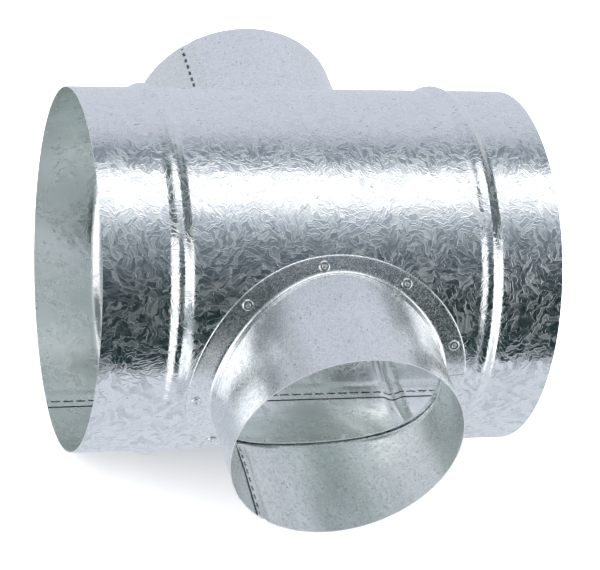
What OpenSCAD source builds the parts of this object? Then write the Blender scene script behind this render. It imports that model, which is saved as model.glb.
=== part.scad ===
// Round duct cross in galvanised sheet steel: a beaded main tube with two riveted saddle collars.
// X runs along the main tube, the collars leave it along -Y and +Y, and +Z is up.
// The origin is where the two duct axes cross.

/* [Ducts] */
// Inside diameter of the duct that each end of the main tube slides into
main_duct = 200; // [180:1:315]
// Inside diameter of the duct that each collar slides into
branch_duct = 125; // [100:1:140]
// Play across the diameter between a duct and the end inside it
duct_play = 0.6; // [0.2:0.1:1.2]
// Thickness of the sheet that the tube and the collars are rolled from
sheet = 0.5; // [0.4:0.1:0.8]

/* [Main tube] */
// Distance from each rim of the tube to the crest of its bead
bead_inset = 41; // [20:1:80]
// Width of a bead at its foot
bead_w = 15; // [10:1:24]
// Height of a bead above the tube
bead_h = 2.5; // [1:0.5:5]
// Bare tube between the foot of a bead and the edge of the flange
bead_gap = 0.3; // [0.1:0.1:40]
// Width of the lap at the tube's lengthwise seam
tube_lap = 9; // [6:1:16]
// Place of the lap's front edge round the tube, in degrees from straight down towards the rear
tube_seam = -3; // [-30:1:30]
// How far the inner layer of a lap stops short of the rim
lap_setback = 0.3; // [0.2:0.1:2]

/* [Collars] */
// Straight length of a collar, from its rim to the flare beside the tube
spigot_len = 21; // [15:1:80]
// Height of the flared foot above the tube
flare_h = 24; // [10:1:40]
// How far the foot flares out by the time it meets the tube
flare_out = 0.5; // [0:0.1:3]
// Radius of the bend from the flared foot to the flange, on the outside
bend_r = 3.5; // [2:0.5:5]
// Width of the flange from the collar's wall, measured over the tube
flange_w = 14; // [12:1:24]
// Film of sealant between the flange and the tube
seal_gap = 0.1; // [0.08:0.01:0.3]
// How far the tube's wall shows inside the collar, round the hole that the collar stands over
hole_ledge = 1; // [0.5:0.5:3]
// Width of the lap at a collar's seam
collar_lap = 5; // [4:1:14]
// Place of a collar's seam round its axis, in degrees
collar_seam = 229; // [200:1:340]
// Width of the slit that relieves the flange's stretched edge
slit_w = 0.5; // [0.2:0.1:2]

/* [Rivets] */
// Diameter of a rivet's shank
rivet_d = 3.2; // [2.4:0.1:4]
// Diameter of a rivet's head
rivet_head_d = 6; // [5:0.1:8]
// Height of a rivet's head
rivet_head_h = 1; // [0.6:0.1:2]
// Distance from the flange's edge to the middle of a rivet
rivet_edge = 5.2; // [4:0.1:8]
// Radial play between a rivet and the hole that it passes through
rivet_play = 0.05; // [0.02:0.01:0.2]
// Length of the bulb that a set rivet forms inside the tube
rivet_bulb_len = 2.6; // [1.5:0.1:5]

/* [Hidden] */

tube_r = (main_duct - duct_play) / 2;
collar_r = (branch_duct - duct_play) / 2;
collar_bore = collar_r - sheet;
flange_r = collar_r + flange_w;
bead_x = flange_r + bead_gap + bead_w / 2;
tube_len = 2 * (bead_x + bead_inset);
seat_r = tube_r + seal_gap;
reach = seat_r + flare_h + spigot_len;
round_fn = 128;
// Spare length that a cutter runs past what it cuts
spare = 1;

// Steps of a bead's section from its crest to its foot, and of the loft that forms a collar's foot:
// stations round the collar, and points along the bend and along the flange of each section
bead_steps = 8;
stations = 96;
bend_steps = 4;
flange_steps = 4;
foot_top = seat_r + flare_h + spare;
// The loft's flat facets stay this far inside the true round wall that they join
facet_inset = 0.02;
// Place of the relief slit round the collar, in degrees
slit_angle = 6;

// Rivets round a collar, in degrees. They are set by eye, so their spacing is a little uneven.
rivet_angles = [22, 59, 97, 134, 185, 220, 256, 292, 328];
rivet_r = flange_r - rivet_edge;
rivet_seat_r = seat_r + sheet + rivet_play;
rivet_grip = 2 * sheet + seal_gap + 2 * rivet_play;
rivet_fn = 48;
// Radii of a set rivet against its shank's: the mandrel that pulled it up, and the bulb
mandrel_share = 0.6;
bulb_share = 1.5;
// How far the bulb draws in at its two ends
bulb_round = 0.3;
// A head's straight edge, rounded shoulder and flat crown, as shares of its height or radius
head_edge = 0.3;
head_shoulder = 0.8;
head_crown = 0.5;

function degrees_round(length, radius) = length / radius * 180 / PI;
function backwards(list) = [for (i = [len(list) - 1:-1:0]) list[i]];

// A bead's section is one wave of a cosine, so it leaves the tube and rounds its crest smoothly.
function bead_rise(u) = bead_h * (1 + cos(180 * u)) / 2;
function bead_face(r) = [
    for (side = [-1, 1]) for (i = [-bead_steps:bead_steps])
        let (u = i / bead_steps) [r + bead_rise(u), side * bead_x + u * bead_w / 2]
];
function tube_face(r, half_len) = concat([[r, -half_len]], bead_face(r), [[r, half_len]]);

// A length of tube wall between two radii, both of whose faces follow the beads. It is turned
// round X from start, in degrees from straight down towards the rear.
module tube_wall(r_in, r_out, half_len, start = 0, turn = 360) {
    rotate([0, 90, 0]) rotate([0, 0, start])
        rotate_extrude(angle = turn, $fn = round_fn)
            polygon(concat(tube_face(r_out, half_len), backwards(tube_face(r_in, half_len))));
}

// A collar and its rivets are drawn along +Z, over a tube along X, and then turned into place.
module at_front() { rotate([90, 0, 0]) children(); }
module at_rear() { rotate([-90, 0, 0]) children(); }

// Stands a shape on the tube's surface of radius r at each rivet's place.
module at_rivets(r) {
    for (a = rivet_angles)
        rotate([-degrees_round(rivet_r * sin(a), tube_r), 0, 0])
            translate([rivet_r * cos(a), 0, r]) children();
}

module rivet_holes() {
    at_rivets(tube_r - spare)
        translate([0, 0, -spare])
            cylinder(r = rivet_d / 2 + rivet_play, h = 4 * spare, $fn = 32);
}

// The lap is the second thickness of sheet inside the tube, where its two long edges overlap.
module main_tube() {
    lap_turn = degrees_round(tube_lap, tube_r);
    lap_half = tube_len / 2 - lap_setback;
    color([0.66, 0.69, 0.72]) difference() {
        union() {
            tube_wall(tube_r - sheet, tube_r, tube_len / 2);
            tube_wall(tube_r - 2 * sheet, tube_r - sheet / 2, lap_half, tube_seam, lap_turn);
        }
        rotate([90, 0, 0])
            cylinder(r = collar_bore - hole_ledge, h = 3 * tube_r, center = true, $fn = round_fn);
        at_front() rivet_holes();
        at_rear() rivet_holes();
    }
}

// The collar's foot is a loft: each station round the collar is a section of the sheet, down the
// wall, out along the flare, round the bend and over the tube to the flange's edge.
function height_over(r, y) = sqrt(r * r - y * y);
function in_plan(r, a, tube) = [r * cos(a), r * sin(a), height_over(tube, r * sin(a))];
// How steeply the tube falls away, seen straight out from the collar's axis at angle a
function fall(r, a, tube) = atan(r * sin(a) * sin(a) / height_over(tube, r * sin(a)));
function curve(p, q, s, u) = (1 - u) * (1 - u) * p + 2 * u * (1 - u) * q + u * u * s;

// One face of the section at angle a: its wall radius, the tube radius it ends on and its bend.
function foot_face(a, wall, tube, bend) =
    let (
        foot = wall + flare_out,
        corner = in_plan(foot, a, tube),
        slope = fall(foot, a, tube),
        leg = bend * tan((90 - slope) / 2),
        bend_start = corner + [0, 0, leg],
        bend_end = in_plan(foot + leg * cos(slope), a, tube),
        tilt = degrees_round(flange_r * sin(a), tube_r),
        rim = [flange_r * cos(a), tube * sin(tilt)]
    )
    concat(
        [[wall * cos(a), wall * sin(a), foot_top]],
        [[wall * cos(a), wall * sin(a), height_over(seat_r, collar_r * sin(a)) + flare_h]],
        [for (i = [0:bend_steps]) curve(bend_start, corner, bend_end, i / bend_steps)],
        [
            for (i = [1:flange_steps])
                let (
                    u = i / flange_steps,
                    x = (1 - u) * bend_end[0] + u * rim[0],
                    y = (1 - u) * bend_end[1] + u * rim[1]
                )
                [x, y, height_over(tube, y)]
        ]
    );

function foot_section(a) = concat(
    foot_face(a, collar_r - facet_inset, seat_r + sheet, bend_r),
    backwards(foot_face(a, (collar_bore + facet_inset) / cos(180 / stations), seat_r, bend_r + sheet))
);

module collar_foot() {
    points = [for (i = [0:stations - 1]) each foot_section(360 * i / stations)];
    n = len(foot_section(0));
    faces = [
        for (i = [0:stations - 1]) for (j = [0:n - 1])
            let (
                a = i * n + j,
                b = i * n + (j + 1) % n,
                c = (i + 1) % stations * n + (j + 1) % n,
                d = (i + 1) % stations * n + j
            )
            each [[a, c, b], [a, d, c]]
    ];
    polyhedron(points, faces, convexity = 8);
}

// The second thickness of sheet inside the collar, where its two edges overlap.
module collar_lap_strip() {
    flare_top = height_over(seat_r, collar_r * sin(collar_seam)) + flare_h;
    flare_foot = flare_top - flare_h + 2 * bend_r;
    end = reach - lap_setback;
    back = collar_bore + sheet / 2;
    face = collar_bore - sheet;
    rotate([0, 0, collar_seam])
        rotate_extrude(angle = degrees_round(collar_lap, collar_r), $fn = round_fn)
            polygon([
                [face, end], [back, end], [back, flare_top],
                [back + flare_out, flare_foot], [face + flare_out, flare_foot], [face, flare_top]
            ]);
}

module collar() {
    difference() {
        union() {
            difference() {
                translate([0, 0, foot_top - spare])
                    cylinder(r = collar_r, h = reach - foot_top + spare, $fn = round_fn);
                translate([0, 0, foot_top - 2 * spare])
                    cylinder(r = collar_bore, h = reach - foot_top + 3 * spare, $fn = round_fn);
            }
            collar_foot();
            collar_lap_strip();
        }
        rivet_holes();
        slit();
    }
}

// The slit that lets the flange's edge stretch over the tube.
module slit() {
    rotate([0, 0, slit_angle])
        translate([collar_r + flare_out + bend_r, -slit_w / 2, tube_r - flange_w])
            cube([flange_w, slit_w, 2 * flange_w]);
}

module front_collar() { color([0.74, 0.75, 0.79]) at_front() collar(); }
module rear_collar() { color([0.74, 0.75, 0.79]) at_rear() collar(); }

// A set blind rivet, with its head on the flange at z = 0: a low domed head with the hole that the
// mandrel snapped off in, the shank, the bulb behind the sheet and the mandrel's end.
module rivet() {
    head_r = rivet_head_d / 2;
    shank_r = rivet_d / 2;
    mandrel_r = mandrel_share * shank_r;
    bulb_r = bulb_share * shank_r;
    bulb_end = -rivet_grip - rivet_bulb_len;
    rotate_extrude($fn = rivet_fn) polygon([
        [0, bulb_end - mandrel_r],
        [mandrel_r, bulb_end - mandrel_r],
        [mandrel_r, bulb_end],
        [bulb_r - bulb_round, bulb_end],
        [bulb_r, bulb_end + rivet_bulb_len / 2],
        [bulb_r - bulb_round, -rivet_grip],
        [shank_r, -rivet_grip],
        [shank_r, 0],
        [head_r, 0],
        [head_r, head_edge * rivet_head_h],
        [head_shoulder * head_r, head_shoulder * rivet_head_h],
        [head_crown * head_r, rivet_head_h],
        [mandrel_r, rivet_head_h],
        [mandrel_r, head_crown * rivet_head_h],
        [0, head_crown * rivet_head_h]
    ]);
}

module rivets() { at_rivets(rivet_seat_r) rivet(); }

module front_rivets() { color([0.72, 0.73, 0.75]) at_front() rivets(); }
module rear_rivets() { color([0.72, 0.73, 0.75]) at_rear() rivets(); }

main_tube();
front_collar();
rear_collar();
front_rivets();
rear_rivets();
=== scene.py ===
"""Round duct cross in galvanised sheet steel: the dressed model, its stage and its camera."""

import math

import bpy
import numpy as np
from bpy.props import FloatProperty, FloatVectorProperty, IntProperty, PointerProperty
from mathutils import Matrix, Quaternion, Vector


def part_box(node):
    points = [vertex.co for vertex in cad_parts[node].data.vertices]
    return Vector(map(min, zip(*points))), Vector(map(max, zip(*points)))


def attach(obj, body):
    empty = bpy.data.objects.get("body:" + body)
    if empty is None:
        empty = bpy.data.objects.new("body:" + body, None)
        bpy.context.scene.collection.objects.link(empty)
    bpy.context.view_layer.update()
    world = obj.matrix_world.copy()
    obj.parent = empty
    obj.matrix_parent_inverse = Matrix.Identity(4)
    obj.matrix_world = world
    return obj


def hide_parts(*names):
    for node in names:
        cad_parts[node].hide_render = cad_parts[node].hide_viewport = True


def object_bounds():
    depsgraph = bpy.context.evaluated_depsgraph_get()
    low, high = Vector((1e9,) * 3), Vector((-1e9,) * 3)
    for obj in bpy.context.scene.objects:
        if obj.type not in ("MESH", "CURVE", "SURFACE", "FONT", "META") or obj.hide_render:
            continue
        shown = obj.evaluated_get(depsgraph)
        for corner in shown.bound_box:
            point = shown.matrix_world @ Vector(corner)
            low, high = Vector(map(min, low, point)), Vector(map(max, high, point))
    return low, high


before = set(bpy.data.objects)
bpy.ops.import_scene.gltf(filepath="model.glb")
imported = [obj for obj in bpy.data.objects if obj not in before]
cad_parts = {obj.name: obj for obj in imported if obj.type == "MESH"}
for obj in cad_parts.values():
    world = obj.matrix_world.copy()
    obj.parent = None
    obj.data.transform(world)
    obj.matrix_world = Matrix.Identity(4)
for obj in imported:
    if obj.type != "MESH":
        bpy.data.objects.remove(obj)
CAD_BOUNDS = [list(corner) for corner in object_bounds()]

bl_info = {
    "name": "Duct cross fitting",
    "version": (1, 0, 0),
    "blender": (4, 5, 0),
    "location": "3D View > Sidebar > Duct cross",
    "description": "Builds a riveted duct cross in spangled sheet steel, with its studio stage",
    "category": "Object",
}

TUBE_LOW, TUBE_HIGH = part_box("main_tube")
COLLAR_LOW, COLLAR_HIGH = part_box("front_collar")


# Properties

class DuctSizes(bpy.types.PropertyGroup):
    """Sizes of the sheet-metal pieces, in the same frame as the solids"""

    tube_radius: FloatProperty(
        name="Tube radius", description="Outer radius of the main tube",
        default=0.0997, subtype="DISTANCE", unit="LENGTH")
    tube_half: FloatProperty(
        name="Tube half length", description="Distance from the middle to a rim of the tube",
        default=TUBE_HIGH.x, subtype="DISTANCE", unit="LENGTH")
    sheet: FloatProperty(
        name="Sheet", description="Thickness of the sheet", default=0.0005,
        subtype="DISTANCE", unit="LENGTH")
    bead_place: FloatProperty(
        name="Bead place", description="Distance from the middle of the tube to a bead's crest",
        default=0.084, subtype="DISTANCE", unit="LENGTH")
    bead_width: FloatProperty(
        name="Bead width", description="Width of a bead at its foot", default=0.015,
        subtype="DISTANCE", unit="LENGTH")
    bead_height: FloatProperty(
        name="Bead height", description="Height of a bead's crest", default=0.0025,
        subtype="DISTANCE", unit="LENGTH")
    tube_seam: FloatProperty(
        name="Tube seam", description="Inner edge of the tube's lap, from straight down to the rear",
        default=math.radians(-3.0), subtype="ANGLE", unit="ROTATION")
    tube_lap: FloatProperty(
        name="Tube lap", description="Width of the tube's lap", default=0.009,
        subtype="DISTANCE", unit="LENGTH")
    hole_radius: FloatProperty(
        name="Branch hole", description="Radius of the hole in the tube behind each collar",
        default=0.0613, subtype="DISTANCE", unit="LENGTH")
    collar_radius: FloatProperty(
        name="Collar radius", description="Outer radius of a collar", default=0.0622,
        subtype="DISTANCE", unit="LENGTH")
    reach: FloatProperty(
        name="Reach", description="Distance from the middle of the tube to a collar's rim",
        default=-COLLAR_LOW.y, subtype="DISTANCE", unit="LENGTH")
    seal_gap: FloatProperty(
        name="Sealant", description="Film of sealant under the flange", default=0.0001,
        subtype="DISTANCE", unit="LENGTH")
    flange_radius: FloatProperty(
        name="Flange radius", description="Radius of the flange's edge, measured over the tube",
        default=COLLAR_HIGH.x, subtype="DISTANCE", unit="LENGTH")
    flare_height: FloatProperty(
        name="Flare height", description="Height of a collar's flared foot above the tube",
        default=0.024, subtype="DISTANCE", unit="LENGTH")
    flare_out: FloatProperty(
        name="Flare", description="How far the foot flares out", default=0.0005,
        subtype="DISTANCE", unit="LENGTH")
    bend_radius: FloatProperty(
        name="Bend radius", description="Radius of the bend from the foot to the flange",
        default=0.0035, subtype="DISTANCE", unit="LENGTH")
    crease: FloatProperty(
        name="Crease", description="Depth of the crease between the foot and the bend",
        default=0.00025, subtype="DISTANCE", unit="LENGTH")
    lumps: FloatProperty(
        name="Unevenness", description="Height of the soft unevenness of the flared foot",
        default=0.00012, subtype="DISTANCE", unit="LENGTH")
    collar_seam: FloatProperty(
        name="Collar seam", description="Inner edge of a collar's lap, round its axis",
        default=math.radians(229.0), subtype="ANGLE", unit="ROTATION")
    collar_lap: FloatProperty(
        name="Collar lap", description="Width of a collar's lap", default=0.005,
        subtype="DISTANCE", unit="LENGTH")
    slit_angle: FloatProperty(
        name="Slit", description="Place of the slit in the flange, round the collar's axis",
        default=math.radians(6.0), subtype="ANGLE", unit="ROTATION")
    rivet_ring: FloatProperty(
        name="Rivet ring", description="Distance of the rivets from the collar's axis, over the tube",
        default=0.071, subtype="DISTANCE", unit="LENGTH")
    rivet_head: FloatProperty(
        name="Rivet head", description="Diameter of a rivet's head", default=0.006,
        subtype="DISTANCE", unit="LENGTH")


class DuctFinish(bpy.types.PropertyGroup):
    """Colours and grain of the metal"""

    zinc_dark: FloatVectorProperty(
        name="Zinc, dull crystals", description="Colour of the duller crystals of zinc",
        default=(0.66, 0.71, 0.72), subtype="COLOR", size=3, min=0, max=1)
    zinc_light: FloatVectorProperty(
        name="Zinc, bright crystals", description="Colour of the brighter crystals of zinc",
        default=(0.86, 0.88, 0.90), subtype="COLOR", size=3, min=0, max=1)
    zinc_inside: FloatVectorProperty(
        name="Zinc inside", description="Colour of the zinc inside the main tube",
        default=(0.87, 0.9, 0.89), subtype="COLOR", size=3, min=0, max=1)
    worked_zinc: FloatVectorProperty(
        name="Worked zinc", description="Colour of the zinc where the sheet was rolled and flared",
        default=(0.90, 0.91, 0.93), subtype="COLOR", size=3, min=0, max=1)
    rivet_metal: FloatVectorProperty(
        name="Rivet metal", description="Colour of the rivets", default=(0.78, 0.79, 0.80),
        subtype="COLOR", size=3, min=0, max=1)
    pit: FloatVectorProperty(
        name="Pits", description="Colour of the small pits and scratches", default=(0.4, 0.42, 0.45),
        subtype="COLOR", size=3, min=0, max=1)
    # this dark colour also paints the shade on the step at a lap's edge
    mark: FloatVectorProperty(
        name="Seam marks", description="Colour of the seam's marks and of the shadow at its edge",
        default=(0.035, 0.045, 0.05), subtype="COLOR", size=3, min=0, max=1)
    cut_edge: FloatVectorProperty(
        name="Cut edge", description="Colour of the sheared edges of the sheet",
        default=(0.75, 0.77, 0.78), subtype="COLOR", size=3, min=0, max=1)
    leaf_length: FloatProperty(
        name="Leaf length", description="Typical length of a leaf of zinc", default=0.008,
        subtype="DISTANCE", unit="LENGTH")
    stitch_pitch: FloatProperty(
        name="Stitch pitch", description="Distance from one weld stitch of the seam to the next",
        default=0.0072, subtype="DISTANCE", unit="LENGTH")


class DuctStudio(bpy.types.PropertyGroup):
    """Floor, light and camera"""

    floor_colour: FloatVectorProperty(
        name="Floor", description="Colour of the floor", default=(0.92, 0.92, 0.92),
        subtype="COLOR", size=3, min=0, max=1)
    camera_azimuth: FloatProperty(
        name="Camera azimuth", description="Direction of the camera, from the front to the right",
        default=math.radians(-21.1805), subtype="ANGLE", unit="ROTATION")
    camera_height: FloatProperty(
        name="Camera elevation", description="Elevation of the camera over the floor",
        default=math.radians(38.4895), subtype="ANGLE", unit="ROTATION")
    camera_distance: FloatProperty(
        name="Camera distance", description="Distance of the camera from the middle",
        default=1.225645, subtype="DISTANCE", unit="LENGTH")
    camera_roll: FloatProperty(
        name="Camera roll", description="Turn of the camera about its line of sight",
        default=math.radians(13.2347), subtype="ANGLE", unit="ROTATION")
    camera_aim: FloatVectorProperty(
        name="Camera aim", description="Point that the camera looks at",
        default=(0.00765, -0.00851, -0.00628), subtype="TRANSLATION", size=3)
    focal_length: FloatProperty(
        name="Focal length", description="Focal length in millimetres on a 36 mm sensor",
        default=130.9465)


class DuctCross(bpy.types.PropertyGroup):
    """All the settings of the duct cross"""

    sizes: PointerProperty(type=DuctSizes)
    finish: PointerProperty(type=DuctFinish)
    studio: PointerProperty(type=DuctStudio)


# Sheet metal

# Material slots of a piece of sheet
OUTSIDE, INSIDE, CUT_EDGE, LAP_EDGE = range(4)


def sheet_piece(name, outer, inner, around, along, inner_start, kept):
    """A piece of sheet from two matching grids of points, closed along every open edge.

    Rows go round the piece and close on the first. around holds each row's place in metres, with
    one more for the closing row, along each column's place, and kept says which cells are there.
    """
    rows, cols = outer.shape[:2]
    points = np.concatenate([outer.reshape(-1, 3), inner.reshape(-1, 3)])
    half = rows * cols
    i, j = np.nonzero(kept)
    i2 = (i + 1) % rows
    a, b, c, d = i * cols + j, i2 * cols + j, i2 * cols + j + 1, i * cols + j + 1
    width = around[1:] - around[:-1]
    total = around[-1] - around[0]
    start = around[:-1] - around[0]
    start_in = (start - inner_start + 1e-9) % total

    def corners(begin, rows_at, cols_at):
        low, high = begin[rows_at], begin[rows_at] + width[rows_at]
        left, right = along[cols_at], along[cols_at + 1]
        return [np.stack([u, v], 1) for u, v in ((left, low), (left, high), (right, high), (right, low))]

    faces = [np.stack([a, b, c, d], 1), np.stack([d, c, b, a], 1) + half]
    maps = [np.stack(corners(start, i, j), 1), np.stack(corners(start_in, i, j)[::-1], 1)]
    # an edge of the grid with a cell on one side only gets a strip from the outer to the inner face
    before = np.pad(kept, ((0, 0), (1, 0)))
    after = np.pad(kept, ((0, 0), (0, 1)))
    for here, there, flip in ((after, before, False), (before, after, True)):
        i, j = np.nonzero(here & ~there)
        p, q = i * cols + j, (i + 1) % rows * cols + j
        quad = [p, p + half, q + half, q]
        faces.append(np.stack(quad[::-1] if flip else quad, 1))
        edge = along[j]
        strip = [np.stack([edge, v], 1) for v in (start[i], start[i], start[i] + width[i], start[i] + width[i])]
        maps.append(np.stack(strip[::-1] if flip else strip, 1))
    previous = np.roll(kept, 1, axis=0)
    for here, there, flip in ((kept, previous, True), (previous, kept, False)):
        i, j = np.nonzero(here & ~there)
        p, q = i * cols + j, i * cols + j + 1
        quad = [p, p + half, q + half, q]
        faces.append(np.stack(quad[::-1] if flip else quad, 1))
        strip = [np.stack([u, start[i]], 1) for u in (along[j], along[j], along[j + 1], along[j + 1])]
        maps.append(np.stack(strip[::-1] if flip else strip, 1))
    # the step at the inner layer's edge takes the lap-edge slot, whose dark colour is painted shade
    step = width[np.nonzero(kept)[0]] < 2e-5
    slots = np.full(sum(len(f) for f in faces), CUT_EDGE)
    cells = len(step)
    slots[:cells] = np.where(step, LAP_EDGE, OUTSIDE)
    slots[cells:2 * cells] = np.where(step, LAP_EDGE, INSIDE)
    return finished_mesh(name, points, np.concatenate(faces), np.concatenate(maps), slots)


def finished_mesh(name, points, faces, maps, slots=None, sharp=math.radians(40.0)):
    """An object from quads, with smooth faces, sharp edges and its places in metres as a UV map."""
    used = np.unique(faces)
    order = np.full(len(points), -1)
    order[used] = np.arange(len(used))
    faces = order[faces]
    points = points[used]
    first, second, third = (points[faces[:, k]] for k in range(3))
    fourth = points[faces[:, 3]]
    volume = np.einsum("ij,ij->i", first, np.cross(second, third)).sum()
    volume += np.einsum("ij,ij->i", first, np.cross(third, fourth)).sum()
    if volume < 0:
        faces, maps = faces[:, ::-1], maps[:, ::-1]
    mesh = bpy.data.meshes.new(name)
    mesh.from_pydata(points.tolist(), [], faces.tolist())
    mesh.uv_layers.new(name="Sheet").data.foreach_set("uv", maps.reshape(-1).astype(np.float32))
    mesh.polygons.foreach_set("use_smooth", np.ones(len(faces), bool))
    if slots is not None:
        for _ in (OUTSIDE, INSIDE, CUT_EDGE, LAP_EDGE):
            mesh.materials.append(None)
        mesh.polygons.foreach_set("material_index", slots.astype(np.int32))
    mesh.set_sharp_from_angle(angle=sharp)
    if mesh.validate():
        raise RuntimeError(f"{name} came out with bad faces")
    piece = bpy.data.objects.new(name, mesh)
    bpy.context.scene.collection.objects.link(piece)
    return piece


def spaced(low, high, step, fine=()):
    """Places from low to high about step apart, closer together over each (from, to, step) in fine."""
    marks = {round(low, 7), round(high, 7)}
    for start, end, _ in fine:
        marks |= {round(max(low, start), 7), round(min(high, end), 7)}
    marks = sorted(marks)
    places = []
    for start, end in zip(marks, marks[1:]):
        middle = (start + end) / 2
        pitch = min([step] + [s for a, b, s in fine if a <= middle <= b])
        places += list(np.linspace(start, end, max(1, round((end - start) / pitch)) + 1)[:-1])
    return np.array(places + [marks[-1]])


def smooth(x):
    """Smooth step from 0 to 1."""
    x = np.clip(x, 0, 1)
    return x * x * (3 - 2 * x)


def lap_offsets(turn, lap, radius, sheet, settle=0.006):
    """How far the two faces of a lapped sheet lie inside their round shape.

    turn is the angle past the inner layer's edge, from 0 to 360 degrees, in radians.
    """
    past = turn * radius - lap
    joggle = sheet * (1 - smooth(past / settle))
    outside = np.where(past > 0, joggle, 0)
    return outside, np.where(past > 0, joggle, sheet)


def build_main_tube(sizes):
    """The rolled tube with its beads, its lap seam and the hole behind each collar."""
    radius, sheet, lap = sizes.tube_radius, sizes.sheet, sizes.tube_lap
    edge = 1e-5
    bead = sizes.bead_place
    half_bead = sizes.bead_width / 2
    fine = [(s * bead - half_bead, s * bead + half_bead, 0.0011) for s in (-1, 1)]
    along = spaced(-sizes.tube_half, sizes.tube_half, 0.0024, fine)
    length = 2 * math.pi * radius
    near = [(0, lap, 0.0012), (lap, lap + edge, edge), (lap + edge, lap + 0.008, 0.0008)]
    around = np.concatenate([[0.0], edge + spaced(0, length - 2 * edge, 0.0024, near)])
    around = np.concatenate([around, [length]])
    # the first two rows stand at the inner layer's edge, on each side of its step
    turn = around[:-1] / radius
    outside, inside = lap_offsets(turn, lap, radius, sheet)
    inside[0] = 0
    angle = (sizes.tube_seam + turn)[:, None]
    rise = np.zeros_like(along)
    for s in (-1, 1):
        u = np.clip((along - s * bead) / half_bead, -1, 1)
        rise += sizes.bead_height * (1 + np.cos(np.pi * u)) / 2
    shape = (len(turn), len(along))
    x = np.broadcast_to(along, shape)
    radii = [radius + rise - outside[:, None], radius - sheet + rise - inside[:, None]]
    hole = sizes.hole_radius
    z = -radius * np.cos(angle) * np.ones(shape)
    from_axis = np.hypot(x, z)
    inside_hole = from_axis < hole - 0.0006
    opened = inside_hole[:, :-1] | inside_hole[:, 1:]
    opened = opened | np.roll(opened, -1, axis=0)
    kept = ~opened
    touches = np.zeros(shape, bool)
    touches[:, :-1] |= opened
    touches[:, 1:] |= opened
    ahead = np.roll(opened, 1, axis=0)
    touches[:, :-1] |= ahead
    touches[:, 1:] |= ahead
    pull = np.where(touches, hole / np.maximum(from_axis, 1e-6), 1.0)
    grids = []
    for r in radii:
        y, z = r * np.sin(angle), -r * np.cos(angle)
        # corners of cells that were opened are drawn onto the hole's round edge
        z = np.where(touches, -radius * np.cos(angle) * pull, z)
        y = np.where(touches, np.sign(y) * np.sqrt(np.maximum(r * r - z * z, 0)), y)
        grids.append(np.stack([x * pull, y, z], 2))
    return sheet_piece("main_tube_sheet", grids[0], grids[1], around, along, 0.0, kept)


def collar_profile(sizes, angles, wall, seat, bend, round_off):
    """Points of one face of a collar, from its rim to the flange's edge, at each angle.

    round_off is how far the flange's edge is rounded down.
    """
    cos, sin = np.cos(angles)[:, None], np.sin(angles)[:, None]

    def height(r, y):
        return np.sqrt(r * r - y * y)

    outer_seat = sizes.tube_radius + sizes.seal_gap
    start = height(outer_seat, sizes.collar_radius * sin) + sizes.flare_height
    foot = wall + sizes.flare_out
    corner_z = height(seat, foot * sin)
    slope = np.arctan(foot * sin * sin / corner_z)
    leg = bend * np.tan((math.pi / 2 - slope) / 2)
    bend_end = foot + leg * np.cos(slope)
    columns = []

    def ring(r, z):
        columns.append(np.concatenate([r * cos, r * sin, z + 0 * cos], 1))

    rim = sizes.reach
    for share in np.concatenate([[0, 0.01, 0.04], np.linspace(0.12, 1, 10)]):
        ring(wall, rim + (start - rim) * share)
    top = corner_z + leg
    # a fine crease lies between the flared foot and the bend
    for share in (*np.linspace(0.1, 0.9, 9), 0.97, 1.0):
        crease = sizes.crease * (share == 1.0)
        ring(wall + (foot - wall) * share - crease, start + (top - start) * share)
    for u in np.linspace(0, 1, 13)[1:]:
        end_z = height(seat, bend_end * sin)
        r = (1 - u) * (1 - u) * foot + 2 * u * (1 - u) * foot + u * u * bend_end
        ring(r, (1 - u) * (1 - u) * top + 2 * u * (1 - u) * corner_z + u * u * end_z)
    over = sizes.flange_radius * sin / sizes.tube_radius
    edge_x, edge_y = sizes.flange_radius * cos, seat * np.sin(over)
    # the sheared edge is rounded a little on its outer side
    turns = [(u, 0) for u in np.linspace(0, 1, 8)[1:-1]] + [(0.955, 0), (0.985, 0.3), (1, 1)]
    for u, drop in turns:
        x = (1 - u) * bend_end * cos + u * edge_x
        y = (1 - u) * bend_end * sin + u * edge_y
        columns.append(np.concatenate([x, y, height(seat, y) - drop * round_off], 1))
    return np.stack(columns, 1)


def hammered(angles, down):
    """Soft unevenness of a flared foot, from -1 to 1, which dies out at the rim and at the bend."""
    waves = 0.5 * np.sin(4 * angles + 0.6 + 3 * down) + 0.35 * np.sin(9 * angles + 1.1) * np.sin(7 * down)
    waves = waves + 0.25 * np.sin(17 * angles + 5 * down) * np.sin(11 * down + 0.8)
    return waves * smooth((down - 0.3) / 0.3) * (1 - smooth((down - 0.82) / 0.16))


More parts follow.
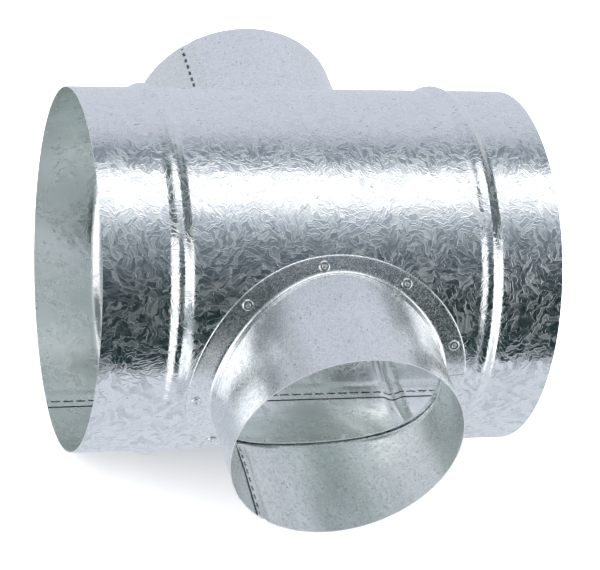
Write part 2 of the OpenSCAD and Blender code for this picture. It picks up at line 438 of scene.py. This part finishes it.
def build_collar(sizes, name, side):
    """A collar with its straight end, flared foot, bend and saddle flange. side is -1 at the front."""
    radius, sheet, lap = sizes.collar_radius, sizes.sheet, sizes.collar_lap
    length = 2 * math.pi * radius
    edge = 1e-5
    slit = (sizes.slit_angle - sizes.collar_seam) % (2 * math.pi) * radius
    slit_width = 0.0004
    near = [(0, lap, 0.0008), (lap, lap + edge, edge), (lap + edge, lap + 0.008, 0.0008),
            (slit, slit + slit_width, slit_width)]
    around = np.concatenate([[0.0], edge + spaced(0, length - 2 * edge, 0.0016, near), [length]])
    turn = around[:-1] / radius
    angles = sizes.collar_seam + turn
    outside, inside = lap_offsets(turn, lap, radius, sheet, 0.005)
    inside[0] = 0
    seat = sizes.tube_radius + sizes.seal_gap
    faces = [collar_profile(sizes, angles, radius, seat + sheet, sizes.bend_radius, 0.6 * sheet),
             collar_profile(sizes, angles, radius - sheet, seat, sizes.bend_radius + sheet, 0)]
    columns = faces[0].shape[1]
    # the lap runs down the wall and ends at the bend
    on_wall = 1 - smooth((np.arange(columns) - 18) / 5.0)
    lumps = sizes.lumps * hammered(angles[:, None], np.arange(columns)[None, :] / 23.0)
    grids = []
    for points, offset in zip(faces, (outside, inside)):
        inward = (offset[:, None] * on_wall[None, :])
        r = np.hypot(points[..., 0], points[..., 1])
        share = (r - inward + lumps) / r
        x, y, z = points[..., 0] * share, points[..., 1] * share, points[..., 2]
        grids.append(np.stack([x, -z, y] if side < 0 else [x, z, -y], 2))
    step = np.linalg.norm(np.diff(faces[0][len(turn) // 2], axis=0), axis=1)
    along = np.concatenate([[0], np.cumsum(step)])
    kept = np.ones((len(turn), columns - 1), bool)
    row = int(np.argmin(abs(around[:-1] - edge - slit)))
    kept[row, 29:] = False
    return sheet_piece(name, grids[0], grids[1], around, along, 0.0, kept)


RIVET_ANGLES = (22, 59, 97, 134, 185, 220, 256, 292, 328)


def build_rivets(sizes, name, side):
    """Nine set blind rivets round a collar, as one piece."""
    head, shank = sizes.rivet_head / 2, 0.0016
    grip = 2 * sizes.sheet + sizes.seal_gap + 0.0001
    mandrel, bulb, bulb_end = 0.00096, 0.0024, grip + 0.0026
    tall = 0.001
    profile = np.array([
        (0, -bulb_end - mandrel), (mandrel * 0.7, -bulb_end - mandrel), (mandrel, -bulb_end - mandrel * 0.8),
        (mandrel, -bulb_end), (bulb - 0.0005, -bulb_end), (bulb - 0.0001, -bulb_end + 0.0006),
        (bulb, -bulb_end + 0.0013), (bulb - 0.0001, -grip - 0.0005), (bulb - 0.0004, -grip),
        (shank, -grip), (shank, 0), (head - 0.0001, 0), (head, 0.00012), (head, tall * 0.35),
        (head * 0.98, tall * 0.55), (head * 0.93, tall * 0.76), (head * 0.85, tall * 0.91),
        (head * 0.76, tall * 0.98), (head * 0.6, tall), (head * 0.42, tall * 0.99),
        (head * 0.37, tall * 0.9), (head * 0.34, tall * 0.55), (head * 0.26, tall * 0.5),
        (head * 0.2, tall * 0.64), (head * 0.1, tall * 0.7), (0, tall * 0.7)])
    sides = 40
    turn = np.arange(sides) * 2 * math.pi / sides
    seat = sizes.tube_radius + sizes.seal_gap + sizes.sheet + 0.00005
    points, faces, maps = [], [], []
    n = len(profile)
    lengths = np.concatenate([[0], np.cumsum(np.linalg.norm(np.diff(profile, axis=0), axis=1))])
    for degrees in RIVET_ANGLES:
        a = math.radians(degrees)
        over = sizes.rivet_ring * math.sin(a) / sizes.tube_radius
        across = np.array([1.0, 0, 0])
        up = np.array([0, math.sin(over), math.cos(over)])
        beside = np.array([0, math.cos(over), -math.sin(over)])
        centre = np.array([sizes.rivet_ring * math.cos(a), 0, 0]) + up * seat
        base = len(points) * n * sides
        ring = [centre + r * (math.cos(t) * across + math.sin(t) * beside) + h * up
                for t in turn for r, h in profile]
        points.append(np.array(ring))
        i, j = (grid.reshape(-1) for grid in np.meshgrid(np.arange(sides), np.arange(n - 1), indexing="ij"))
        i2 = (i + 1) % sides
        faces.append(base + np.stack([i * n + j, i2 * n + j, i2 * n + j + 1, i * n + j + 1], 1))
        low, high = i / sides * 0.02, (i + 1) / sides * 0.02
        maps.append(np.stack([np.stack(pair, 1) for pair in (
            (lengths[j], low), (lengths[j], high), (lengths[j + 1], high), (lengths[j + 1], low))], 1))
    points = np.concatenate(points)
    x, y, z = points.T
    points = np.stack([x, -z, y] if side < 0 else [x, z, -y], 1)
    faces, maps = np.concatenate(faces), np.concatenate(maps)
    return joined_poles(name, points, faces, maps)


def joined_poles(name, points, faces, maps):
    """finished_mesh for a revolved piece, with the points on each axis joined into one."""
    keys = np.round(points * 1e7).astype(np.int64)
    _, first, back = np.unique(keys, axis=0, return_index=True, return_inverse=True)
    back = back.reshape(-1)
    faces = back[faces]
    points = points[first]
    quads, tris = [], []
    quad_maps, tri_maps = [], []
    for face, places in zip(faces.tolist(), maps.tolist()):
        single = [k for k in range(4) if face[k] not in face[:k]]
        if len(single) == 4:
            quads.append(face)
            quad_maps += places
        elif len(single) == 3:
            tris.append([face[k] for k in single])
            tri_maps += [places[k] for k in single]
    mesh = bpy.data.meshes.new(name)
    mesh.from_pydata(points.tolist(), [], quads + tris)
    uv = np.array(quad_maps + tri_maps, np.float32)
    mesh.uv_layers.new(name="Sheet").data.foreach_set("uv", uv.reshape(-1))
    mesh.polygons.foreach_set("use_smooth", np.ones(len(quads) + len(tris), bool))
    mesh.set_sharp_from_angle(angle=math.radians(50.0))
    piece = bpy.data.objects.new(name, mesh)
    bpy.context.scene.collection.objects.link(piece)
    return piece


# Shader helpers

def node(tree, kind, place=(0, 0), **settings):
    """A new node with its settings; keys that name an input set that input's value."""
    made = tree.nodes.new(kind)
    made.location = place
    for key, value in settings.items():
        if hasattr(made, key):
            setattr(made, key, value)
        else:
            made.inputs[key.replace("_", " ")].default_value = value
    return made


def math_node(tree, operation, first, second=None, third=None, clamp=False):
    """The output of a Math node; each operand is a socket or a number."""
    made = tree.nodes.new("ShaderNodeMath")
    made.operation = operation
    made.use_clamp = clamp
    for socket, value in zip(made.inputs, (first, second, third)):
        if value is None:
            continue
        if isinstance(value, (int, float)):
            socket.default_value = value
        else:
            tree.links.new(value, socket)
    return made.outputs[0]


def group_tree(name, inputs, outputs):
    """An empty shader node group with named sockets, and its input and output nodes."""
    tree = bpy.data.node_groups.new(name, "ShaderNodeTree")
    for label, kind, default in inputs:
        socket = tree.interface.new_socket(name=label, in_out="INPUT", socket_type=kind)
        if default is not None:
            socket.default_value = default
    for label, kind in outputs:
        tree.interface.new_socket(name=label, in_out="OUTPUT", socket_type=kind)
    return tree, tree.nodes.new("NodeGroupInput"), tree.nodes.new("NodeGroupOutput")


def placed_group(tree, group, **values):
    """The group as a node in a material, with its own values."""
    made = tree.nodes.new("ShaderNodeGroup")
    made.node_tree = group
    for key, value in values.items():
        made.inputs[key.replace("_", " ")].default_value = value
    return made


def vector_math(tree, operation, first, second=None, **inputs):
    """The output of a Vector Math node; each operand is a socket or three numbers."""
    made = tree.nodes.new("ShaderNodeVectorMath")
    made.operation = operation
    for socket, value in zip(made.inputs, (first, second)):
        if value is None:
            continue
        if isinstance(value, tuple):
            socket.default_value = value
        else:
            tree.links.new(value, socket)
    for key, value in inputs.items():
        if isinstance(value, (int, float)):
            made.inputs[key].default_value = value
        else:
            tree.links.new(value, made.inputs[key])
    return made.outputs[0]


def texture(tree, kind, vector, **settings):
    """A 2D texture node read at a place on the sheet."""
    flat = {"ShaderNodeTexNoise": "noise_dimensions", "ShaderNodeTexVoronoi": "voronoi_dimensions"}[kind]
    made = node(tree, kind, **{flat: "2D"}, **settings)
    tree.links.new(vector, made.inputs["Vector"])
    return made


def spangle_group():
    """Leaf-shaped crystals of zinc in small sheaves: their rims, their own shade and their lean."""
    tree, given, result = group_tree(
        "Zinc leaves",
        [("Place", "NodeSocketVector", None), ("Leaf Length", "NodeSocketFloat", 0.006),
         ("Cover", "NodeSocketFloat", 0.6), ("Lean", "NodeSocketFloat", 0.03)],
        [("Rim", "NodeSocketFloat"), ("Shade", "NodeSocketFloat"), ("Normal", "NodeSocketVector")])
    link = tree.links.new
    scale = math_node(tree, "DIVIDE", 1.0, given.outputs["Leaf Length"])
    scaled = vector_math(tree, "SCALE", given.outputs["Place"], Scale=scale)
    wander = texture(tree, "ShaderNodeTexNoise", scaled, Scale=2.0, Detail=1.0)
    bent = vector_math(tree, "SUBTRACT", wander.outputs["Color"], (0.5, 0.5, 0.5))
    bent = vector_math(tree, "ADD", vector_math(tree, "SCALE", bent, Scale=0.45), scaled)
    # the leaves of one sheaf lie side by side, each sheaf its own way
    sheaves = texture(tree, "ShaderNodeTexVoronoi", bent, feature="F1", Scale=0.95)
    sheaf = node(tree, "ShaderNodeSeparateColor")
    link(sheaves.outputs["Color"], sheaf.inputs[0])
    turned = node(tree, "ShaderNodeVectorRotate", rotation_type="Z_AXIS")
    link(bent, turned.inputs["Vector"])
    link(math_node(tree, "MULTIPLY", sheaf.outputs[0], 2 * math.pi), turned.inputs["Angle"])
    stretched = vector_math(tree, "MULTIPLY", turned.outputs[0], (1.0, 3.9, 1.0))
    leaves = texture(tree, "ShaderNodeTexVoronoi", stretched, feature="F1", Scale=1.0)
    borders = texture(tree, "ShaderNodeTexVoronoi", stretched, feature="DISTANCE_TO_EDGE", Scale=1.0)
    leaf = node(tree, "ShaderNodeSeparateColor")
    link(leaves.outputs["Color"], leaf.inputs[0])
    rim = node(tree, "ShaderNodeMapRange", interpolation_type="SMOOTHSTEP")
    link(borders.outputs["Distance"], rim.inputs["Value"])
    for name, value in (("From Min", 0.03), ("From Max", 0.2), ("To Min", 1.0), ("To Max", 0.0)):
        rim.inputs[name].default_value = value
    # some of the sheet shows few leaves
    amount = texture(tree, "ShaderNodeTexNoise", scaled, Scale=0.5, Detail=2.0)
    shown = node(tree, "ShaderNodeMapRange")
    link(amount.outputs["Fac"], shown.inputs["Value"])
    link(math_node(tree, "SUBTRACT", 0.85, given.outputs["Cover"]), shown.inputs["From Min"])
    link(math_node(tree, "SUBTRACT", 1.15, given.outputs["Cover"]), shown.inputs["From Max"])
    link(math_node(tree, "MULTIPLY", rim.outputs[0], shown.outputs[0]), result.inputs["Rim"])
    # most leaves are nearly as bright as bare zinc, and a few are dull
    own = math_node(tree, "POWER", leaf.outputs[0], 2.5)
    link(math_node(tree, "MULTIPLY", own, shown.outputs[0]), result.inputs["Shade"])
    leaned = vector_math(tree, "SUBTRACT", leaves.outputs["Color"], (0.5, 0.5, 0.5))
    leaned = vector_math(tree, "SCALE", leaned, Scale=given.outputs["Lean"])
    surface = node(tree, "ShaderNodeNewGeometry")
    unit = vector_math(tree, "NORMALIZE", vector_math(tree, "ADD", surface.outputs["Normal"], leaned))
    link(unit, result.inputs["Normal"])
    return tree


def speck_group():
    """Small dark pits and short scratches in the zinc, as a mask."""
    tree, given, result = group_tree(
        "Pits and scratches",
        [("Place", "NodeSocketVector", None), ("Spacing", "NodeSocketFloat", 0.003),
         ("Cover", "NodeSocketFloat", 0.4), ("Size", "NodeSocketFloat", 0.14)],
        [("Mask", "NodeSocketFloat")])
    link = tree.links.new
    scale = math_node(tree, "DIVIDE", 1.0, given.outputs["Spacing"])
    scaled = vector_math(tree, "SCALE", given.outputs["Place"], Scale=scale)
    rough = texture(tree, "ShaderNodeTexNoise", scaled, Scale=4.0, Detail=2.0, Roughness=0.7)
    total = None
    for degrees, slim in ((8, 3.0), (-30, 2.2), (40, 3.4)):
        turned = node(tree, "ShaderNodeVectorRotate", rotation_type="Z_AXIS")
        turned.inputs["Angle"].default_value = math.radians(degrees)
        link(scaled, turned.inputs["Vector"])
        stretched = vector_math(tree, "MULTIPLY", turned.outputs[0], (1 / slim, 1.0, 1.0))
        cells = texture(tree, "ShaderNodeTexVoronoi", stretched, feature="F1", Scale=1.0)
        parts = node(tree, "ShaderNodeSeparateColor")
        link(cells.outputs["Color"], parts.inputs[0])
        ragged = math_node(tree, "MULTIPLY_ADD", rough.outputs["Fac"], 0.5, cells.outputs["Distance"])
        limit = math_node(tree, "MULTIPLY_ADD", parts.outputs[2], given.outputs["Size"], 0.22)
        close = math_node(tree, "LESS_THAN", ragged, limit)
        chosen = math_node(tree, "LESS_THAN", parts.outputs[0], given.outputs["Cover"])
        layer = math_node(tree, "MULTIPLY", close, chosen)
        layer = math_node(tree, "MULTIPLY", layer, parts.outputs[1])
        total = layer if total is None else math_node(tree, "MAXIMUM", total, layer)
    link(total, result.inputs["Mask"])
    return tree


def stitch_group():
    """A row of short marks beside a seam, as a mask."""
    tree, given, result = group_tree(
        "Seam marks",
        [("Place", "NodeSocketVector", None), ("Line", "NodeSocketFloat", 0.004),
         ("Width", "NodeSocketFloat", 0.001), ("Pitch", "NodeSocketFloat", 0.007),
         ("Share", "NodeSocketFloat", 0.7), ("Begin", "NodeSocketFloat", 0.0),
         ("End", "NodeSocketFloat", 1.0)],
        [("Mask", "NodeSocketFloat")])
    link = tree.links.new
    ragged = texture(tree, "ShaderNodeTexNoise", given.outputs["Place"], Scale=600.0, Detail=2.0)
    shift = vector_math(tree, "SUBTRACT", ragged.outputs["Color"], (0.5, 0.5, 0.5))
    moved = vector_math(tree, "ADD", vector_math(tree, "SCALE", shift, Scale=0.0012), given.outputs["Place"])
    parts = node(tree, "ShaderNodeSeparateXYZ")
    link(moved, parts.inputs[0])
    off = math_node(tree, "SUBTRACT", parts.outputs[1], given.outputs["Line"])
    off = math_node(tree, "ABSOLUTE", off)
    near = math_node(tree, "LESS_THAN", off, math_node(tree, "MULTIPLY", given.outputs["Width"], 0.5))
    phase = math_node(tree, "FRACT", math_node(tree, "DIVIDE", parts.outputs[0], given.outputs["Pitch"]))
    mark = math_node(tree, "LESS_THAN", phase, given.outputs["Share"])
    after = math_node(tree, "GREATER_THAN", parts.outputs[0], given.outputs["Begin"])
    before = math_node(tree, "LESS_THAN", parts.outputs[0], given.outputs["End"])
    mask = math_node(tree, "MULTIPLY", near, mark)
    mask = math_node(tree, "MULTIPLY", mask, math_node(tree, "MULTIPLY", after, before))
    link(mask, result.inputs["Mask"])
    return tree


def metal_material(name, groups, colours, leaves, pits, polish, grain, marks=()):
    """Galvanised sheet: polished zinc with leaf-shaped crystals, dark pits and a fine grain.

    colours are those of the bare zinc, the dull crystals, the pits and the seam marks. leaves and
    pits hold the values of those effects, polish the roughness of the bare zinc and of a dull
    crystal, grain the fine ripple and the height of the crystals' rims, and marks the rows of seam
    marks, each with its strength.
    """
    base, dull, pit, mark = colours
    material = bpy.data.materials.new(name)
    material.use_nodes = True
    tree = material.node_tree
    link = tree.links.new
    shader = tree.nodes["Principled BSDF"]
    shader.inputs["Metallic"].default_value = 1.0
    place = node(tree, "ShaderNodeUVMap", uv_map="Sheet")
    crystals = placed_group(tree, groups["leaves"], **leaves)
    specks = placed_group(tree, groups["pits"], **pits)
    link(place.outputs[0], crystals.inputs["Place"])
    link(place.outputs[0], specks.inputs["Place"])
    colour = mixed_colour(tree, crystals.outputs["Shade"], base, dull)
    colour = mixed_colour(tree, specks.outputs["Mask"], colour, pit)
    dark = specks.outputs["Mask"]
    for strength, values in marks:
        row = placed_group(tree, groups["marks"], **values)
        link(place.outputs[0], row.inputs["Place"])
        share = math_node(tree, "MULTIPLY", row.outputs["Mask"], strength)
        colour = mixed_colour(tree, share, colour, mark)
        dark = math_node(tree, "MAXIMUM", dark, share)
    link(colour, shader.inputs["Base Color"])
    rims = math_node(tree, "MULTIPLY", crystals.outputs["Rim"], grain["rim_dullness"])
    dullness = math_node(tree, "ADD", crystals.outputs["Shade"], rims, clamp=True)
    link(math_node(tree, "MULTIPLY_ADD", dullness, polish[1] - polish[0], polish[0]),
         shader.inputs["Roughness"])
    stretch = vector_math(tree, "MULTIPLY", place.outputs[0], grain["stretch"])
    ripple = texture(tree, "ShaderNodeTexNoise", stretch, Scale=1.0, Detail=3.0, Roughness=0.65)
    height = math_node(tree, "MULTIPLY_ADD", crystals.outputs["Rim"], grain["rims"], ripple.outputs["Fac"])
    height = math_node(tree, "MULTIPLY_ADD", dark, -0.5, height)
    relief = node(tree, "ShaderNodeBump", Strength=grain["strength"], Distance=grain["depth"])
    link(height, relief.inputs["Height"])
    link(crystals.outputs["Normal"], relief.inputs["Normal"])
    link(relief.outputs[0], shader.inputs["Normal"])
    return material


def mixed_colour(tree, share, first, second):
    """The output of a colour mix; each colour is a socket or three numbers."""
    made = node(tree, "ShaderNodeMix", data_type="RGBA")
    tree.links.new(share, made.inputs[0])
    for socket, value in ((made.inputs[6], first), (made.inputs[7], second)):
        if hasattr(value, "is_linked"):
            tree.links.new(value, socket)
        else:
            socket.default_value = (*value, 1)
    return made.outputs[2]


def edge_material(name, colour):
    """The sheared edge of the sheet, bare steel with fine tear marks. In the seam marks' dark colour it paints
    the shade on the step at a lap's edge.
    """
    material = bpy.data.materials.new(name)
    material.use_nodes = True
    tree = material.node_tree
    shader = tree.nodes["Principled BSDF"]
    shader.inputs["Metallic"].default_value = 1.0
    place = node(tree, "ShaderNodeUVMap", uv_map="Sheet")
    tears = texture(tree, "ShaderNodeTexNoise", place.outputs[0], Scale=900.0, Detail=2.0)
    pale = tuple(min(1.0, c * 1.5) for c in colour)
    tree.links.new(mixed_colour(tree, tears.outputs["Fac"], colour, pale), shader.inputs["Base Color"])
    rough = math_node(tree, "MULTIPLY_ADD", tears.outputs["Fac"], 0.3, 0.35)
    tree.links.new(rough, shader.inputs["Roughness"])
    return material


def shared_materials(settings):
    """The metals of the fitting, made once."""
    finish, half = settings.finish, settings.sizes.tube_half
    if "tube_galvanised" not in bpy.data.materials:
        groups = {"leaves": spangle_group(), "pits": speck_group(), "marks": stitch_group()}
        leaf = finish.leaf_length
        seam = [(0.9, dict(Line=0.0042, Width=0.0012, Pitch=finish.stitch_pitch, Share=0.76,
                           Begin=-half, End=half)),
                (0.35, dict(Line=0.0101, Width=0.0058, Pitch=0.00115, Share=0.3, Begin=0.055, End=0.115))]
        collar_seam = [(0.9, dict(Line=0.002, Width=0.0016, Pitch=0.0056, Share=0.55,
                                  Begin=0.002, End=0.06))]
        tube_zinc = (finish.zinc_light, finish.zinc_dark, finish.pit, finish.mark)
        inside_zinc = (finish.zinc_inside, finish.zinc_dark, finish.pit, finish.mark)
        collar_zinc = (finish.worked_zinc, finish.zinc_dark, finish.pit, finish.mark)
        rivet_zinc = (finish.rivet_metal, finish.rivet_metal, finish.pit, finish.mark)
        metal_material(
            "tube_galvanised", groups, tube_zinc,
            dict(Leaf_Length=leaf, Cover=0.75, Lean=0.04),
            dict(Spacing=0.003, Cover=0.35, Size=0.16), (0.07, 0.32),
            dict(stretch=(900.0, 900.0, 1.0), strength=0.6, depth=0.00003, rims=1.8,
                 rim_dullness=0.4), seam)
        metal_material(
            "tube_inside", groups, inside_zinc,
            dict(Leaf_Length=leaf, Cover=0.5, Lean=0.03),
            dict(Spacing=0.003, Cover=0.35, Size=0.16), (0.2, 0.35),
            dict(stretch=(900.0, 900.0, 1.0), strength=0.5, depth=0.00003, rims=1.0,
                 rim_dullness=0.4), seam)
        metal_material(
            "collar_galvanised", groups, collar_zinc,
            dict(Leaf_Length=leaf * 0.3, Cover=0.75, Lean=0.03),
            dict(Spacing=0.003, Cover=0.25, Size=0.14), (0.12, 0.3),
            dict(stretch=(2200.0, 300.0, 1.0), strength=0.6, depth=0.00003, rims=0.8,
                 rim_dullness=0.4), collar_seam)
        metal_material(
            "collar_inside", groups, inside_zinc,
            dict(Leaf_Length=leaf * 0.3, Cover=0.75, Lean=0.03),
            dict(Spacing=0.003, Cover=0.35, Size=0.15), (0.12, 0.3),
            dict(stretch=(2200.0, 300.0, 1.0), strength=0.6, depth=0.00003, rims=0.8,
                 rim_dullness=0.4), collar_seam)
        metal_material(
            "rivet_metal", groups, rivet_zinc,
            dict(Leaf_Length=0.002, Cover=0.2, Lean=0.02),
            dict(Spacing=0.002, Cover=0.2, Size=0.1), (0.2, 0.35),
            dict(stretch=(900.0, 900.0, 1.0), strength=0.3, depth=0.00003, rims=0.5,
                 rim_dullness=0.4))
        edge_material("cut_edge", finish.cut_edge)
        # the lap's step gets the seam marks' dark colour as painted shade
        edge_material("lap_edge_painted_shade", finish.mark)
    return {name: bpy.data.materials[name] for name in
            ("tube_galvanised", "tube_inside", "collar_galvanised", "collar_inside", "rivet_metal",
             "cut_edge", "lap_edge_painted_shade")}


# Operators

class DUCT_OT_main_tube(bpy.types.Operator):
    """Builds the beaded main tube over the main tube's solid"""

    bl_idname = "duct.main_tube"
    bl_label = "Main tube"

    def execute(self, context):
        settings = context.scene.duct_cross
        piece = build_main_tube(settings.sizes)
        metals = shared_materials(settings)
        for slot, metal in enumerate(("tube_galvanised", "tube_inside", "cut_edge", "lap_edge_painted_shade")):
            piece.data.materials[slot] = metals[metal]
        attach(piece, "root")
        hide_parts("main_tube")
        return {"FINISHED"}


class DUCT_OT_collars(bpy.types.Operator):
    """Builds the two saddle collars over their solids"""

    bl_idname = "duct.collars"
    bl_label = "Saddle collars"

    def execute(self, context):
        settings = context.scene.duct_cross
        for place, side in (("front", -1), ("rear", 1)):
            piece = build_collar(settings.sizes, f"{place}_collar_sheet", side)
            metals = shared_materials(settings)
            for slot, metal in enumerate(("collar_galvanised", "collar_inside", "cut_edge", "lap_edge_painted_shade")):
                piece.data.materials[slot] = metals[metal]
            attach(piece, "root")
            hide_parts(f"{place}_collar")
        return {"FINISHED"}


class DUCT_OT_rivets(bpy.types.Operator):
    """Builds the blind rivets of both flanges"""

    bl_idname = "duct.rivets"
    bl_label = "Blind rivets"

    def execute(self, context):
        settings = context.scene.duct_cross
        for place, side in (("front", -1), ("rear", 1)):
            piece = build_rivets(settings.sizes, f"{place}_rivet_set", side)
            piece.data.materials.append(shared_materials(settings)["rivet_metal"])
            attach(piece, "root")
            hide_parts(f"{place}_rivets")
        return {"FINISHED"}


class DUCT_OT_stage(bpy.types.Operator):
    """Builds the floor, the studio light and the camera"""

    bl_idname = "duct.stage"
    bl_label = "Stage"

    def execute(self, context):
        studio = context.scene.duct_cross.studio
        build_floor(studio)
        build_light()
        build_camera(studio)
        context.scene.view_settings.view_transform = "Standard"
        # light goes round inside the ducts many times before it comes out
        context.scene.cycles.max_bounces = 12
        context.scene.cycles.glossy_bounces = 8
        return {"FINISHED"}


def build_floor(studio):
    """A plain pale floor that the object lies on."""
    low = CAD_BOUNDS[0][2]
    half = 6.0
    corners = [(-half, -half, low), (half, -half, low), (half, half, low), (-half, half, low)]
    mesh = bpy.data.meshes.new("floor")
    mesh.from_pydata(corners, [], [(0, 1, 2, 3)])
    floor = bpy.data.objects.new("floor", mesh)
    bpy.context.scene.collection.objects.link(floor)
    floor.visible_glossy = False
    paint = bpy.data.materials.new("floor_paint")
    paint.use_nodes = True
    shader = paint.node_tree.nodes["Principled BSDF"]
    shader.inputs["Base Color"].default_value = (*studio.floor_colour, 1)
    shader.inputs["Roughness"].default_value = 1.0
    shader.inputs["Specular IOR Level"].default_value = 0.0
    mesh.materials.append(paint)


# Light of the studio as the metal sees it, by the angle up from the front horizon towards the rear,
# in degrees: (angle, red, green, blue). The first list is for what lies square to the tube, and the
# second for the two sides, past its ends.
MIDDLE_LIGHT = (
    (-90, 0.72, 0.76, 0.82), (-40, 0.7, 0.73, 0.8), (-27, 0.74, 0.78, 0.84), (-23, 0.02, 0.042, 0.046),
    (15, 0.005, 0.02, 0.023), (30, 0.03, 0.05, 0.06), (45, 0.09, 0.12, 0.14), (57, 0.19, 0.225, 0.25),
    (68, 0.39, 0.44, 0.51), (76, 0.8, 0.83, 0.88), (84, 1.6, 1.6, 1.62), (98, 1.6, 1.6, 1.62),
    (105, 0.55, 0.58, 0.63), (111, 0.26, 0.3, 0.34), (119, 0.21, 0.25, 0.3), (126, 0.42, 0.46, 0.52),
    (134, 0.58, 0.61, 0.69), (150, 0.63, 0.66, 0.74), (200, 0.65, 0.68, 0.76), (270, 0.72, 0.76, 0.82))
SIDE_LIGHT = (
    (-90, 0.72, 0.76, 0.82), (-50, 0.74, 0.78, 0.84), (-38, 1.6, 1.6, 1.62), (55, 1.6, 1.6, 1.62),
    (64, 0.1, 0.13, 0.14), (130, 0.1, 0.13, 0.14), (150, 0.58, 0.61, 0.66), (200, 0.65, 0.68, 0.73),
    (270, 0.72, 0.76, 0.82))


def light_ramp(tree, share, stops):
    """The colour of a list of lights at a share of the turn."""
    made = node(tree, "ShaderNodeValToRGB")
    ramp = made.color_ramp
    while len(ramp.elements) > 1:
        ramp.elements.remove(ramp.elements[-1])
    for k, (degrees, *colour) in enumerate(stops):
        position = (degrees + 90) / 360
        element = ramp.elements[0] if k == 0 else ramp.elements.new(position)
        element.position = position
        element.color = (*colour, 1)
    tree.links.new(share, made.inputs[0])
    return made.outputs[0]


def build_light():
    """Soft studio light: bands of light and dark round the object, and an even light for the floor."""
    world = bpy.data.worlds.new("studio_light")
    bpy.context.scene.world = world
    world.use_nodes = True
    tree = world.node_tree
    link = tree.links.new
    background = tree.nodes["Background"]
    direction = node(tree, "ShaderNodeTexCoord")
    parts = node(tree, "ShaderNodeSeparateXYZ")
    link(direction.outputs["Generated"], parts.inputs[0])
    front = math_node(tree, "MULTIPLY", parts.outputs["Y"], -1.0)
    angle = math_node(tree, "ARCTAN2", parts.outputs["Z"], front)
    # from -90 degrees at the bottom, round the front and over the top, to 270 degrees
    turned = math_node(tree, "ADD", angle, math.pi / 2)
    share = math_node(tree, "FRACT", math_node(tree, "DIVIDE", turned, 2 * math.pi))
    middle, sides = light_ramp(tree, share, MIDDLE_LIGHT), light_ramp(tree, share, SIDE_LIGHT)
    weights = []
    for near, far in ((-0.34, -0.54), (0.56, 0.68)):
        ease = node(tree, "ShaderNodeMapRange", interpolation_type="SMOOTHSTEP")
        link(parts.outputs["X"], ease.inputs["Value"])
        ease.inputs["From Min"].default_value = near
        ease.inputs["From Max"].default_value = far
        weights.append(ease.outputs[0])
    around = mixed_colour(tree, math_node(tree, "MAXIMUM", *weights), middle, sides)
    rays = node(tree, "ShaderNodeLightPath")
    seen = mixed_colour(tree, rays.outputs["Is Glossy Ray"], (3.0, 3.0, 3.0), around)
    link(seen, background.inputs["Color"])


def build_camera(studio):
    """The camera at the photograph's viewing angle."""
    camera = bpy.data.objects.new("camera", bpy.data.cameras.new("camera"))
    bpy.context.scene.collection.objects.link(camera)
    camera.data.sensor_width = 36.0
    camera.data.lens = studio.focal_length
    camera.data.clip_end = 50.0
    azimuth, height = studio.camera_azimuth, studio.camera_height
    camera.location = studio.camera_distance * Vector((
        math.sin(azimuth) * math.cos(height), -math.cos(azimuth) * math.cos(height), math.sin(height)))
    ahead = Vector(studio.camera_aim) - camera.location
    camera.rotation_mode = "QUATERNION"
    level = ahead.to_track_quat("-Z", "Y")
    camera.rotation_quaternion = level @ Quaternion((0, 0, 1), studio.camera_roll)
    bpy.context.scene.camera = camera


class VIEW3D_PT_duct_cross(bpy.types.Panel):
    """Lists the pieces of the duct cross and its stage"""

    bl_label = "Duct cross"
    bl_space_type = "VIEW_3D"
    bl_region_type = "UI"
    bl_category = "Duct cross"

    def draw(self, context):
        for operator in OPERATORS:
            self.layout.operator(operator.bl_idname, text=operator.bl_label)


OPERATORS = (DUCT_OT_main_tube, DUCT_OT_collars, DUCT_OT_rivets, DUCT_OT_stage)
CLASSES = (DuctSizes, DuctFinish, DuctStudio, DuctCross, *OPERATORS, VIEW3D_PT_duct_cross)


def register():
    for cls in CLASSES:
        bpy.utils.register_class(cls)
    bpy.types.Scene.duct_cross = PointerProperty(type=DuctCross)


def unregister():
    del bpy.types.Scene.duct_cross
    for cls in reversed(CLASSES):
        bpy.utils.unregister_class(cls)


def main():
    register()
    bpy.ops.duct.main_tube()
    bpy.ops.duct.collars()
    bpy.ops.duct.rivets()
    bpy.ops.duct.stage()


if __name__ == "__main__":
    main()
